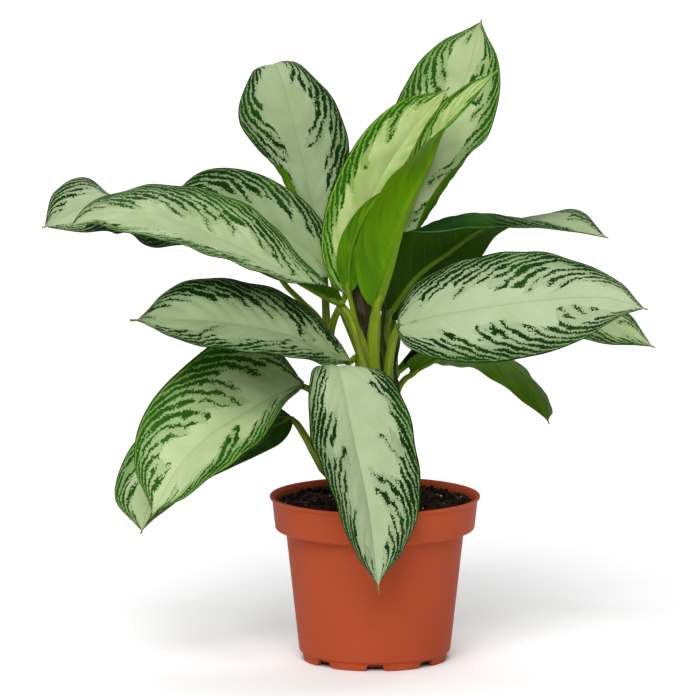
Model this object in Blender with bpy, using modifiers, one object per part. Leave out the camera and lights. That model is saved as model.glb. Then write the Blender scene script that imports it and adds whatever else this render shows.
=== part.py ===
"""Potted chinese evergreen: nursery pot, soil, three canes and sixteen leaves.

Metres, +Z up. The origin is on the pot's axis, in the plane the pot stands on.
Each leaf is a thin blade lofted along its midrib and a petiole that carries it from a cane.
"""
import math

import bmesh
import bpy
import numpy as np
from mathutils import Matrix, Vector

MM = 0.001  # every dimension below is in millimetres

# pot
POT_HEIGHT = 134.0
LIP_RADIUS = 85.0
BAND_RADIUS = 83.0          # just under the lip
BAND_FOOT_RADIUS = 80.6     # at the lower edge of the rim band
BAND_HEIGHT = 28.0
BODY_TOP_RADIUS = 71.8
BODY_FOOT_RADIUS = 61.2
FOOT_RADIUS = 59.0
FOOT_HEIGHT = 6.6
WALL = 1.8
FLOOR_UNDERSIDE = 3.0       # the floor is lifted this far off the ground
FLOOR_TOP = 5.0
FOOT_RING_INNER = 54.5
NOTCHES = 8
NOTCH_TOP_WIDTH = 11.5
NOTCH_FOOT_WIDTH = 18.5
NOTCH_HEIGHT = 5.8
POT_STEPS = 64

# soil
SOIL_EDGE = 124.0           # height of the soil at the wall
SOIL_MIDDLE = 126.0
GAP = 0.35                  # clearance kept between pieces that touch

# canes: foot position, top height, radius
CANE_FOOT = 86.0
CANES = {
    "cane_front": {"x": 4.0, "y": -8.0, "top": 190.0, "radius": 7.0},
    "cane_back": {"x": 14.0, "y": 14.0, "top": 185.0, "radius": 6.5},
    "cane_left": {"x": -24.0, "y": 12.0, "top": 180.0, "radius": 6.5},
}

# leaves
BLADE_THICKNESS = 0.7
STATIONS = 20               # cross sections along a blade
ACROSS = 7                  # points across a blade
PETIOLE_SIDES = 8
PETIOLE_RINGS = 12

# rib:   midrib from base to tip
# face:  which way the upper side looks, from base to tip
# width: across the blade where it is widest; lean widens the right half and narrows the left
# widest, heel, point: where it is widest, how round the base is, how full the tip is
# fold:  degrees each half (left, right) is raised from the midrib, from base to tip
# curl:  degrees each half bends down towards its margin (negative bends up)
# on:    the cane it grows from, and its top or the height and compass turn on its side
# stalk: points the petiole passes on its way to the blade; stem is its diameter,
#        stop is how far short of the blade it ends
LEAVES = {
    "back_left": {
        "rib": [(-43, 82, 331), (-57, 99, 385), (-67, 105, 427), (-76, 113, 459), (-83, 126, 469),
                (-88, 142, 460)],
        "face": [(.15, -.95, .3), (.15, -.95, .3), (.1, -.95, .35), (0, -.6, .8), (-.3, .3, .9)],
        "width": 84, "widest": .5, "heel": .6, "point": 2.8,
        "fold": ([30, 20, 6, 10, 12], [10]), "curl": ([-60, -70, 10, 20, 20], [30]),
        "on": ("cane_left", 150, 135), "stalk": [(-36, 28, 200), (-39, 48, 260), (-41, 68, 305)]},
    "back_right": {
        "rib": [(19, 40, 326), (32, 50, 368), (53, 62, 415), (74, 68, 466), (86, 66, 511)],
        "face": [(-.1, -.95, .3), (-.1, -.95, .25)],
        "width": 83, "lean": -.1, "widest": .55, "heel": .7, "point": 3,
        "fold": ([5], [30, 20, 12, 12]), "curl": ([20], [-60, -50, 10, 30]),
        "on": ("cane_back", "top"), "stalk": [(13, 18, 210), (13, 26, 240), (15, 34, 290)]},
    "young_pale": {
        "rib": [(-23, 14, 296), (-15, 24, 339), (4, 28, 387), (30, 26, 428), (58, 20, 461)],
        "face": [(.2, -.95, .2), (.2, -.95, .25)],
        "width": 76, "widest": .4, "heel": .5, "point": 3,
        "fold": ([10], [10]), "curl": ([20], [30]),
        "on": ("cane_left", "top"), "stalk": [(-32, 13, 220), (-36, 14, 255), (-33, 14, 275)]},
    "young_side": {
        "rib": [(-21, 4, 299), (-19, 5, 331), (-7, 10, 361), (13, 14, 384)],
        "face": [(.2, .95, .2), (.2, .95, .2)],
        "width": 34, "widest": .35, "heel": .5, "point": 1.7,
        "fold": ([0], [0]), "curl": ([20], [20]),
        "on": ("cane_front", 165, 143), "stalk": [(-4.5, -1, 200), (-9, 0, 245)], "stem": 4},
    "young_front": {
        "rib": [(1, -12, 288), (9, -14, 320), (17, -14, 354), (26, -13, 379), (39, -11, 405),
                (52, -8, 432), (74, -4, 457), (98, 0, 479)],
        "face": [(0, 1, 0), (-.3, .95, 0), (-.7, .7, .1), (-.95, .35, .2), (-.7, -.7, .3), (-.4, -.9, .3)],
        "width": 60, "lean": .2, "widest": .4, "heel": .5, "point": 2.4,
        "fold": ([90, 88, 85, 80, 50, 40], [10, 8, 12, 18, 30, 40]), "curl": ([0], [20]),
        "on": ("cane_front", "top"), "stalk": [(1, -10, 220), (-1.6, -12, 252)]},
    "right_arch": {
        "rib": [(9, 16, 277), (32, 22, 308), (58, 14, 330), (90, 2, 353), (132, -14, 359), (184, -32, 349)],
        "face": [(-.3, .8, .5), (-.3, .75, .6), (-.1, .1, 1), (.2, -.8, .6)],
        "width": 84, "widest": .4, "heel": .5, "point": 3,
        "fold": ([10], [20]), "curl": ([20], [20]),
        "on": ("cane_back", 165, 225), "stalk": [(6.5, 8.5, 210), (6.5, 12, 245)]},
    "right_low": {
        "rib": [(18, -26, 276), (52, -42, 287), (115, -66, 301), (178, -86, 308), (213, -98, 301)],
        "face": [(-.1, -.85, .5), (.05, -.85, .5)],
        "width": 96, "widest": .4, "heel": .5, "point": 2.5,
        "fold": ([8], [8]), "curl": ([25], [25]), "stop": 1.5,
        "on": ("cane_front", 150, 330), "stalk": [(12.5, -14, 200), (10.5, -15, 228), (12, -20, 251)]},
    "right_tail": {
        "rib": [(14, 14, 231), (53, 30, 258), (118, 34, 276), (182, 26, 271), (224, 16, 253)],
        "face": [(-.3, .6, .7), (0, .1, 1), (.1, -.3, .9), (.2, -.7, .7)],
        "width": 74, "widest": .4, "heel": .5, "point": 3.5,
        "fold": ([10], [10]), "curl": ([20], [20]),
        "on": ("cane_back", 150, 329), "stalk": [(21, 7.5, 190), (15, 10, 215)]},
    "right_back": {
        "rib": [(41, 20, 238), (65, 38, 245), (102, 66, 235), (130, 90, 208), (143, 108, 176)],
        "face": [(-.2, .6, .8), (0, .6, .85), (.4, .6, .8)],
        "width": 80, "widest": .4, "heel": .5, "point": 3,
        "fold": ([10], [-30]), "curl": ([20], [20]), "stop": 1.1,
        "on": ("cane_back", 150, 45), "stalk": [(19, 23, 185), (17, 24, 205), (20, 23, 219), (28, 20, 230)]},
    "left_mid": {
        "rib": [(-20, -18, 246), (-48, -32, 261), (-76, -48, 274), (-132, -70, 287), (-189, -86, 290)],
        "face": [(0, -.75, .65), (-.05, -.75, .65)],
        "width": 86, "widest": .5, "heel": .8, "point": 3,
        "fold": ([36, 34, 20], [10]), "curl": ([10], [20]),
        "on": ("cane_front", 150, 186), "stalk": [(-9.5, -10, 190), (-13, -9, 228), (-14, -12, 248)]},
    "front_down": {
        "rib": [(-26, -53, 238), (-30, -65, 245), (-26, -80, 232), (-16, -92, 190), (-6, -109, 145),
                (2, -118, 81)],
        "face": [(0, -.2, 1), (.1, -.85, .5), (.3, -.95, .2), (.25, -.93, .1)],
        "width": 102, "widest": .42, "heel": .65, "point": 3,
        "fold": ([5], [0, 38, 46, 46, 40]), "curl": ([25], [15, 15, 25]),
        "on": ("cane_front", 140, 270), "stalk": [(2, -22, 170), (-6, -30, 205), (-18, -42, 227)]},
    "low_left": {
        "rib": [(-58, -10, 226), (-80, -28, 220), (-120, -62, 202), (-140, -78, 189), (-159, -92, 169),
                (-177, -102, 136)],
        "face": [(-.2, -.8, .6), (-.2, -.85, .5), (-.2, -.9, .4)],
        "width": 100, "lean": .08, "widest": .45, "heel": .5, "point": 3,
        "fold": ([10, 20, 25, 10], [0]), "curl": ([0], [0]), "stop": 1.6,
        "on": ("cane_left", 140, 270), "stalk": [(-28, -2, 180), (-40, -5, 208)]},
    "low_left_under": {
        "rib": [(-67, 12, 195), (-105, -6, 182), (-149, -30, 164), (-178, -48, 140), (-187, -60, 115)],
        "face": [(-.2, -.6, .7), (-.3, -.7, .6)],
        "width": 92, "lean": .14, "widest": .4, "heel": .5, "point": 3,
        "fold": ([85, 40, 10, 10], [10]), "curl": ([20], [20]),
        "on": ("cane_left", 132, 203), "stalk": [(-37, 8, 145), (-51, 10, 171)]},
    "left_long": {
        "rib": [(-26, -18, 293), (-60, -26, 313), (-92, -34, 332), (-124, -42, 349), (-171, -54, 369),
                (-219, -62, 372), (-241, -68, 363)],
        "face": [(0, -.6, .8), (0, -.5, .85), (0, -.5, .85)],
        "width": 98, "widest": .6, "heel": .8, "point": 3,
        "fold": ([100, 35, 25, 25, 25, 25, 25], [-10, -32, -12, 5, 5, 5, 5]), "curl": ([0], [10]),
        "on": ("cane_front", 165, 235), "stalk": [(-3.5, -17, 200), (-10, -19, 253)]},
    "left_behind": {
        "rib": [(-36, 28, 310), (-57, 40, 328), (-89, 56, 349), (-130, 76, 360), (-171, 98, 349)],
        "face": [(.1, -1, .15), (0, -1, .2)],
        "width": 78, "widest": .4, "heel": .5, "point": 3,
        "fold": ([10], [10]), "curl": ([20], [20]),
        "on": ("cane_front", 150, 98),
        "stalk": [(-3, 5.5, 200), (-9, 12, 240), (-14, 16, 252), (-28, 24, 285)]},
    "left_tail": {
        "rib": [(-85, 16, 322), (-125, 12, 343), (-173, 6, 364), (-221, -6, 373), (-260, -30, 357)],
        "face": [(0, .2, 1), (0, .2, 1), (0, .1, 1), (0, 0, 1), (0, -.8, .5), (0, -1, .2)],
        "width": 84, "widest": .4, "heel": .5, "point": 3.4,
        "fold": ([0], [-10, -15, -15, -10, 0, 0]), "curl": ([20], [10]),
        "on": ("cane_left", 155, 170),
        "stalk": [(-35.5, 12, 200), (-38, 6, 240), (-43, 8, 272), (-59, 12, 290), (-72, 14, 303)],
        "stem": 4.5},
}
STEM = 5.5                  # usual petiole diameter
STEM_STOP = 0.85            # usual stop

COLOURS = {
    "pot": (0.39, 0.064, 0.023),
    "soil": (0.012, 0.005, 0.003),
    "cane": (0.10, 0.13, 0.03),
    "petiole": (0.13, 0.24, 0.008),
    "blade": (0.36, 0.46, 0.30),
    "blade_young": (0.30, 0.44, 0.12),
    "blade_lime": (0.14, 0.30, 0.008),
}
LIME = ("young_front", "young_side")
YOUNG = ("young_pale",)


def unit(v):
    return v / np.maximum(np.linalg.norm(v, axis=-1, keepdims=True), 1e-12)


def spread(values, t):
    """A list of values laid evenly from base to tip, read at t."""
    values = np.array(values, float)
    return np.interp(t, np.linspace(0, 1, len(values)), values)


def curveThrough(points, t):
    """A smooth curve through the points, read at shares t of its length."""
    p = np.array(points, float)
    count = len(p)
    p = np.vstack([2 * p[0] - p[1], p, 2 * p[-1] - p[-2]])
    fine = np.linspace(0, count - 1, 60 * (count - 1) + 1)
    i = np.minimum(fine.astype(int), count - 2)
    f = (fine - i)[:, None]
    a, b, c, d = p[i], p[i + 1], p[i + 2], p[i + 3]
    line = 0.5 * (2 * b + (c - a) * f + (2 * a - 5 * b + 4 * c - d) * f ** 2
                  + (3 * b - a - 3 * c + d) * f ** 3)
    along = np.concatenate([[0], np.cumsum(np.linalg.norm(np.diff(line, axis=0), axis=1))])
    at = np.asarray(t) * along[-1]
    return np.stack([np.interp(at, along, line[:, k]) for k in range(3)], -1), along[-1]


def bladeSurface(leaf, t, v):
    """Middle surface of a blade: rows along t, columns across v from -1 (left) to 1 (right)."""
    rib, _ = curveThrough(leaf["rib"], t)
    ahead, _ = curveThrough(leaf["rib"], np.clip(t + 0.01, 0, 1))
    behind, _ = curveThrough(leaf["rib"], np.clip(t - 0.01, 0, 1))
    along = unit(ahead - behind)
    faces = unit(np.array(leaf["face"], float))
    face = np.stack([spread(faces[:, k], t) for k in range(3)], -1)
    up = unit(face - np.sum(face * along, -1, keepdims=True) * along)
    right = np.cross(along, up)
    base = np.clip(1 - (1 - t / leaf["widest"]) ** 2, 0, 1) ** leaf["heel"]
    tip = 1 - np.clip((t - leaf["widest"]) / (1 - leaf["widest"]), 0, 1) ** leaf["point"]
    half = np.maximum(leaf["width"] / 2 * np.where(t < leaf["widest"], base, tip), 0.5)
    surface = np.zeros((len(t), len(v), 3))
    for side in (0, 1):
        sign = 2 * side - 1
        fold = np.radians(spread(leaf["fold"][side], t))
        curl = np.radians(spread(leaf["curl"][side], t))
        curl = np.where(np.abs(curl) < 1e-3, 1e-3, curl)
        reach = half * (1 + sign * leaf.get("lean", 0))
        for j, across in enumerate(v):
            if across * sign < 0 or (across == 0 and side == 0):
                continue
            u = abs(across)
            out = (np.sin(fold) - np.sin(fold - curl * u)) / curl
            rise = (np.cos(fold - curl * u) - np.cos(fold)) / curl
            surface[:, j] = rib + right * (sign * out * reach)[:, None] + up * (rise * reach)[:, None]
    return surface


def colourOf(name):
    if name == "pot":
        return COLOURS["pot"]
    if name == "potting_soil":
        return COLOURS["soil"]
    if name.startswith("cane"):
        return COLOURS["cane"]
    if name.endswith("petiole"):
        return COLOURS["petiole"]
    leaf = name[len("leaf_"):-len("_blade")]
    if leaf in LIME:
        return COLOURS["blade_lime"]
    return COLOURS["blade_young"] if leaf in YOUNG else COLOURS["blade"]


def addNode(name, mesh, collection):
    node = bpy.data.objects.new(name, mesh)
    material = bpy.data.materials.new(name)
    material.use_nodes = True
    shader = material.node_tree.nodes["Principled BSDF"]
    shader.inputs["Base Color"].default_value = (*colourOf(name), 1)
    shader.inputs["Roughness"].default_value = 0.45
    mesh.materials.append(material)
    collection.objects.link(node)
    return node


def solidMesh(name, vertices, faces):
    mesh = bpy.data.meshes.new(name)
    mesh.from_pydata([tuple(float(c) * MM for c in vertex) for vertex in vertices], [], faces)
    work = bmesh.new()
    work.from_mesh(mesh)
    bmesh.ops.recalc_face_normals(work, faces=work.faces)
    work.to_mesh(mesh)
    work.free()
    mesh.validate()
    return mesh


def bladeMesh(name, leaf):
    even = np.linspace(0, 1, STATIONS)
    t = 0.5 * even + 0.25 * (1 - np.cos(math.pi * even))
    surface = bladeSurface(leaf, t, np.linspace(-1, 1, ACROSS))
    normal = unit(np.cross(np.gradient(surface, axis=0), np.gradient(surface, axis=1)))
    top = (surface + normal * BLADE_THICKNESS / 2).reshape(-1, 3)
    bottom = (surface - normal * BLADE_THICKNESS / 2).reshape(-1, 3)
    n, m = ACROSS, STATIONS * ACROSS
    faces = []
    for i in range(STATIONS - 1):
        for j in range(ACROSS - 1):
            a, b, c, d = i * n + j, i * n + j + 1, (i + 1) * n + j + 1, (i + 1) * n + j
            faces += [(a, b, c, d), (m + d, m + c, m + b, m + a)]
        left, right = i * n, i * n + n - 1
        faces += [(left, left + n, m + left + n, m + left), (right, m + right, m + right + n, right + n)]
    for j in range(ACROSS - 1):
        last = (STATIONS - 1) * n + j
        faces += [(j, m + j, m + j + 1, j + 1), (last, last + 1, m + last + 1, m + last)]
    return solidMesh(name, np.vstack([top, bottom]), faces)


def tubeMesh(name, line, radii, sides):
    """A round rod along a line, with a flat cap at each end."""
    along = unit(np.gradient(line, axis=0))
    vertices, faces = [], []
    for point, forward, radius in zip(line, along, radii):
        across = unit(np.array([1.0, 0, 0]) - forward[0] * forward)
        other = np.cross(forward, across)
        for k in range(sides):
            turn = 2 * math.pi * k / sides
            vertices.append(point + radius * (across * math.cos(turn) + other * math.sin(turn)))
    rings = len(line)
    for i in range(rings - 1):
        for k in range(sides):
            a, b = i * sides + k, i * sides + (k + 1) % sides
            faces.append((a, b, b + sides, a + sides))
    faces.append(tuple(reversed(range(sides))))
    faces.append(tuple((rings - 1) * sides + k for k in range(sides)))
    return solidMesh(name, vertices, faces)


def caneRings(cane):
    """Heights and radii of a cane, from its buried foot to its rounded top."""
    top = cane["top"]
    heights = [CANE_FOOT, 105, 125, 145, 160, top - 8, top - 3.5, top - 1.2, top]
    shares = [0.55, 0.85, 1.0, 1.0, 0.97, 0.92, 0.78, 0.5, 0.2]
    return heights, [cane["radius"] * share for share in shares]


def petioleFoot(leaf, radius):
    """Where the petiole's middle line leaves its cane."""
    cane = CANES[leaf["on"][0]]
    if leaf["on"][1] == "top":
        return (cane["x"], cane["y"], cane["top"] + 2 * GAP)
    height, turn = leaf["on"][1], math.radians(leaf["on"][2])
    reach = np.interp(height, *caneRings(cane)) + radius + GAP
    return (cane["x"] + reach * math.cos(turn), cane["y"] + reach * math.sin(turn), height)


def petioleMesh(name, leaf):
    radius = leaf.get("stem", STEM) / 2
    points = [petioleFoot(leaf, radius)] + leaf["stalk"] + [leaf["rib"][0]]
    _, length = curveThrough(points, [1.0])
    share = np.linspace(0, 1 - leaf.get("stop", STEM_STOP) / length, PETIOLE_RINGS)
    line, _ = curveThrough(points, share)
    radii = radius * np.interp(share, [0, 0.25, 0.8, 1], [1.0, 1.0, 0.9, 0.62])
    return tubeMesh(name, line, radii, PETIOLE_SIDES)


def caneMesh(name, cane):
    heights, radii = caneRings(cane)
    return tubeMesh(name, np.array([(cane["x"], cane["y"], z) for z in heights]), radii, 20)


def revolved(name, profile, steps, collection):
    """A profile in X and Z, listed from top to bottom on the outside, turned about Z."""
    mesh = bpy.data.meshes.new(name)
    edges = [(i, i + 1) for i in range(len(profile) - 1)]
    mesh.from_pydata([(x * MM, 0, z * MM) for x, z in profile], edges, [])
    node = addNode(name, mesh, collection)
    screw = node.modifiers.new("turn", "SCREW")
    screw.angle = 2 * math.pi
    screw.steps = screw.render_steps = steps
    screw.use_merge_vertices = True
    screw.merge_threshold = 0.00001
    screw.use_normal_calculate = True
    return node


def potProfile():
    bandFoot = POT_HEIGHT - BAND_HEIGHT
    return [
        (0, FLOOR_TOP), (FOOT_RING_INNER + 2.0, FLOOR_TOP), (FOOT_RING_INNER + 2.6, FLOOR_TOP + 1.6),
        (BODY_FOOT_RADIUS - WALL, FOOT_HEIGHT + 4), (BODY_TOP_RADIUS - WALL, bandFoot - 2.5),
        (BODY_TOP_RADIUS - WALL + 1.2, bandFoot + 1.6), (BAND_FOOT_RADIUS - WALL - 1.2, bandFoot + 3.4),
        (BAND_FOOT_RADIUS - WALL, bandFoot + 5.0), (BAND_RADIUS - WALL, POT_HEIGHT - 3),
        (LIP_RADIUS - 2.2, POT_HEIGHT - 0.8), (LIP_RADIUS - 1.4, POT_HEIGHT),
        (LIP_RADIUS - 0.5, POT_HEIGHT), (LIP_RADIUS, POT_HEIGHT - 0.6),
        (LIP_RADIUS, POT_HEIGHT - 1.6), (BAND_RADIUS + 0.3, POT_HEIGHT - 3.2),
        (BAND_RADIUS, POT_HEIGHT - 4.6), (BAND_FOOT_RADIUS, bandFoot + 4.0),
        (BAND_FOOT_RADIUS - 0.9, bandFoot + 1.6), (BAND_FOOT_RADIUS - 2.8, bandFoot + 0.3),
        (BODY_TOP_RADIUS + 0.6, bandFoot - 0.6),
        (BODY_TOP_RADIUS, bandFoot - 1.6), (BODY_FOOT_RADIUS, FOOT_HEIGHT + 1.0),
        (BODY_FOOT_RADIUS - 0.5, FOOT_HEIGHT + 0.2), (FOOT_RADIUS + 0.4, FOOT_HEIGHT - 0.4),
        (FOOT_RADIUS, FOOT_HEIGHT - 1.2), (FOOT_RADIUS - 0.2, 0.6), (FOOT_RADIUS - 0.8, 0),
        (FOOT_RING_INNER + 0.6, 0), (FOOT_RING_INNER, 0.6), (FOOT_RING_INNER, FLOOR_UNDERSIDE),
        (0, FLOOR_UNDERSIDE)]


def soilProfile():
    bandFoot = POT_HEIGHT - BAND_HEIGHT
    inner = BODY_TOP_RADIUS - WALL
    slope = (BAND_RADIUS - BAND_FOOT_RADIUS) / (POT_HEIGHT - 8 - bandFoot)
    edge = BAND_FOOT_RADIUS - WALL + slope * (SOIL_EDGE - 1.2 - bandFoot - 5)
    return [
        (0, SOIL_MIDDLE), (20, SOIL_MIDDLE - 0.4), (45, SOIL_MIDDLE - 0.8), (66, SOIL_EDGE + 0.6),
        (edge - GAP - 2.2, SOIL_EDGE), (edge - GAP, SOIL_EDGE - 1.2),
        (BAND_FOOT_RADIUS - WALL - GAP, bandFoot + 5.4),
        (BAND_FOOT_RADIUS - WALL - 1.4 - GAP, bandFoot + 3.9),
        (inner + 0.8 - GAP, bandFoot + 2.1), (inner - GAP, bandFoot - 2.2),
        (BODY_FOOT_RADIUS - WALL - GAP, FOOT_HEIGHT + 4.4), (FOOT_RING_INNER + 1.9, FLOOR_TOP + 1.8),
        (FOOT_RING_INNER + 1.4, FLOOR_TOP + GAP), (0, FLOOR_TOP + GAP)]


def cutWith(node, cutter):
    cutter.hide_render = True
    cutter.display_type = "WIRE"
    cut = node.modifiers.new("cut " + cutter.name, "BOOLEAN")
    cut.operation = "DIFFERENCE"
    cut.solver = "EXACT"
    cut.object = cutter


def notchCutter(collection):
    """Eight flared notches through the foot ring, joined as one cutter."""
    whole = bmesh.new()
    top, foot = NOTCH_TOP_WIDTH / 2, NOTCH_FOOT_WIDTH / 2
    half = [(foot, -1), (foot - 0.4, 0.4), (foot - 2.2, 1.6), (top + 0.4, NOTCH_HEIGHT - 1.8),
            (top - 1.4, NOTCH_HEIGHT)]
    outline = half + [(-x, z) for x, z in reversed(half)]
    inner, outer = FOOT_RING_INNER - 0.9, FOOT_RADIUS + 4
    for k in range(NOTCHES):
        turn = Matrix.Rotation(2 * math.pi * k / NOTCHES, 4, "Z")
        near = [whole.verts.new(turn @ Vector((x * MM, -inner * MM, z * MM))) for x, z in outline]
        far = [whole.verts.new(turn @ Vector((x * MM, -outer * MM, z * MM))) for x, z in outline]
        whole.faces.new(near)
        whole.faces.new(list(reversed(far)))
        for i in range(len(outline)):
            j = (i + 1) % len(outline)
            whole.faces.new((near[j], near[i], far[i], far[j]))
    bmesh.ops.recalc_face_normals(whole, faces=whole.faces)
    mesh = bpy.data.meshes.new("notches")
    whole.to_mesh(mesh)
    whole.free()
    cutter = bpy.data.objects.new("notches", mesh)
    collection.objects.link(cutter)
    return cutter


def caneSocket(name, cane, collection):
    """The space in the soil that a cane stands in."""
    heights, radii = caneRings(cane)
    line = np.array([(cane["x"], cane["y"], z) for z in [CANE_FOOT - GAP] + heights[1:4]])
    mesh = tubeMesh(name, line, [radius + GAP + 0.1 for radius in radii[:4]], 20)
    cutter = bpy.data.objects.new(name, mesh)
    collection.objects.link(cutter)
    return cutter


def main():
    for stale in list(bpy.data.objects):
        bpy.data.objects.remove(stale)
    plant = bpy.data.collections.new("potted_chinese_evergreen")
    cutters = bpy.data.collections.new("cutters")
    for collection in (plant, cutters):
        bpy.context.scene.collection.children.link(collection)
    cutters.hide_render = True

    pot = revolved("pot", potProfile(), POT_STEPS, plant)
    cutWith(pot, notchCutter(cutters))
    soil = revolved("potting_soil", soilProfile(), POT_STEPS, plant)
    for name, cane in CANES.items():
        addNode(name, caneMesh(name, cane), plant)
        cutWith(soil, caneSocket(name + "_socket", cane, cutters))
    for name, leaf in LEAVES.items():
        blade, petiole = "leaf_%s_blade" % name, "leaf_%s_petiole" % name
        addNode(blade, bladeMesh(blade, leaf), plant)
        addNode(petiole, petioleMesh(petiole, leaf), plant)


main()
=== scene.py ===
# Potted chinese evergreen: patterned leaves, sheathed petioles, canes, compost and a nursery pot
import math

import bmesh
import bpy
import numpy as np
from mathutils import Matrix, Vector


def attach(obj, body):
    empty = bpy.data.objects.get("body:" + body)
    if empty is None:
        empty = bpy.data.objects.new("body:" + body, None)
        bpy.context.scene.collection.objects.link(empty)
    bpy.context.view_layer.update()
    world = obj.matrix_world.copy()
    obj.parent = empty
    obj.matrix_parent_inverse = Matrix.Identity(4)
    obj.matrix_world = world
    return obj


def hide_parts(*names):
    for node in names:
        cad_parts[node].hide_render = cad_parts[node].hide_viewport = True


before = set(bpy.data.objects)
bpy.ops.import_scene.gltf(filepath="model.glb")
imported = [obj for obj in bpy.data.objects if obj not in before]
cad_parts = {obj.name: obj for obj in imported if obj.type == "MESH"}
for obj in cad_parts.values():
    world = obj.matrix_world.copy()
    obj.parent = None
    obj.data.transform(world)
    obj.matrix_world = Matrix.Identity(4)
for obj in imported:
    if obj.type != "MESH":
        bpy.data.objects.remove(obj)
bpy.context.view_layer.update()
mm = 0.001  # leaf, cane, soil and pot values are in millimetres
print("frame loaded:", len(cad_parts), "nodes")


class Wire:
    # one output of a node; arithmetic on it adds Math nodes
    def __init__(self, finish, socket):
        self.finish = finish
        self.socket = socket

    def math(self, operation, *values):
        return self.finish.node("ShaderNodeMath", {"operation": operation}, dict(enumerate(values)))

    def __add__(self, other):
        return self.math("ADD", self, other)

    def __sub__(self, other):
        return self.math("SUBTRACT", self, other)

    def __rsub__(self, other):
        return self.math("SUBTRACT", other, self)

    def __mul__(self, other):
        return self.math("MULTIPLY", self, other)

    def __truediv__(self, other):
        return self.math("DIVIDE", self, other)

    def __rtruediv__(self, other):
        return self.math("DIVIDE", other, self)

    def __abs__(self):
        return self.math("ABSOLUTE", self)

    def __gt__(self, other):
        return self.math("GREATER_THAN", self, other)

    def whole(self):
        return self.math("FLOOR", self)

    def most(self, other):
        return self.math("MAXIMUM", self, other)

    __radd__ = __add__
    __rmul__ = __mul__


class Finish:
    # a material, its Principled shader and the nodes that feed it
    def __init__(self, name, roughness=0.5, **constants):
        self.material = bpy.data.materials.new(name)
        self.material.use_nodes = True
        self.tree = self.material.node_tree
        self.shader = self.tree.nodes["Principled BSDF"]
        self.shader.inputs["Roughness"].default_value = roughness
        for socket, value in constants.items():
            self.shader.inputs[socket.replace("_", " ")].default_value = value

    def node(self, kind, settings=None, values=None, out=0):
        # settings are the node's own choices; values are numbers, colours or wires for its sockets
        made = self.tree.nodes.new(kind)
        for name, value in (settings or {}).items():
            setattr(made, name, value)
        for key, value in (values or {}).items():
            self.feed(made.inputs[key], value)
        return Wire(self, made.outputs[out])

    def feed(self, socket, value):
        if isinstance(value, Wire):
            self.tree.links.new(value.socket, socket)
        elif isinstance(value, tuple) and len(value) == 3 and socket.type == "RGBA":
            socket.default_value = (*value, 1)
        else:
            socket.default_value = value

    def reading(self, name):
        # a number that the mesh carries at each point
        return self.node("ShaderNodeAttribute", {"attribute_name": name}, out="Fac")

    def readings(self, *names):
        return [self.reading(name) for name in names]

    def place(self, x, y, z):
        return self.node("ShaderNodeCombineXYZ", values={0: x, 1: y, 2: z})

    def objectPlace(self):
        return self.node("ShaderNodeTexCoord", out="Object")

    def noise(self, place, scale=1.0, detail=2.0, roughness=0.5):
        values = {"Vector": place, "Scale": scale, "Detail": detail, "Roughness": roughness}
        return self.node("ShaderNodeTexNoise", values=values, out="Fac")

    def chance(self, place):
        return self.node("ShaderNodeTexWhiteNoise", values={"Vector": place}, out="Value")

    def spots(self, place, scale):
        return self.node("ShaderNodeTexVoronoi", values={"Vector": place, "Scale": scale})

    def between(self, value, low, high):
        settings = {"interpolation_type": "SMOOTHSTEP"}
        return self.node("ShaderNodeMapRange", settings, {0: value, 1: low, 2: high})

    def mix(self, share, first, second):
        settings = {"data_type": "RGBA", "clamp_factor": True}
        return self.node("ShaderNodeMix", settings, {0: share, 6: first, 7: second}, out=2)

    def bump(self, height, distance, strength=1.0):
        values = {"Height": height, "Distance": distance, "Strength": strength}
        return self.node("ShaderNodeBump", values=values)

    def use(self, **sockets):
        for name, value in sockets.items():
            self.feed(self.shader.inputs[name.replace("_", " ")], value)
        return self.material


def unit(vectors):
    return vectors / np.maximum(np.linalg.norm(vectors, axis=-1, keepdims=True), 1e-12)


def squareTo(along, vectors):
    # the directions turned to stand at right angles to along
    return unit(vectors - np.sum(vectors * along, -1, keepdims=True) * along)


def smooth(low, high, x):
    share = np.clip((x - low) / (high - low), 0, 1)
    return share * share * (3 - 2 * share)


def fullTurn(count):
    return np.linspace(0, 2 * math.pi, count, endpoint=False)


def spread(values, t):
    # a list laid evenly from base to tip, read at t with its corners rounded
    values = np.array(values, float)
    if len(values) == 1:
        return np.full(t.shape, values[0])
    knots = np.linspace(0, 1, len(values))
    offsets = np.linspace(-0.4, 0.4, 9) / (len(values) - 1)
    return np.mean([np.interp(np.clip(t + d, 0, 1), knots, values) for d in offsets], axis=0)


def curveThrough(points, t):
    # a smooth curve through the points, read at shares t of its length; its length comes second
    p = np.array(points, float)
    count = len(p)
    p = np.vstack([2 * p[0] - p[1], p, 2 * p[-1] - p[-2]])
    fine = np.linspace(0, count - 1, 60 * (count - 1) + 1)
    i = np.minimum(fine.astype(int), count - 2)
    f = (fine - i)[:, None]
    a, b, c, d = p[i], p[i + 1], p[i + 2], p[i + 3]
    line = 0.5 * (2 * b + (c - a) * f + (2 * a - 5 * b + 4 * c - d) * f ** 2
                  + (3 * b - a - 3 * c + d) * f ** 3)
    along = np.concatenate([[0], np.cumsum(np.linalg.norm(np.diff(line, axis=0), axis=1))])
    at = np.asarray(t) * along[-1]
    return np.stack([np.interp(at, along, line[:, k]) for k in range(3)], -1), along[-1]


def gridNormal(surface):
    return unit(np.cross(np.gradient(surface, axis=1), np.gradient(surface, axis=0)))


def gridFaces(rows, columns, start=0, closed=False):
    # quads of a grid; closed joins the last column to the first
    steps = columns if closed else columns - 1
    i, j = np.meshgrid(np.arange(rows - 1), np.arange(steps), indexing="ij")
    near = start + i * columns + j
    beside = start + i * columns + (j + 1) % columns
    return np.stack([near, beside, beside + columns, near + columns], -1).reshape(-1, 4)


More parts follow.
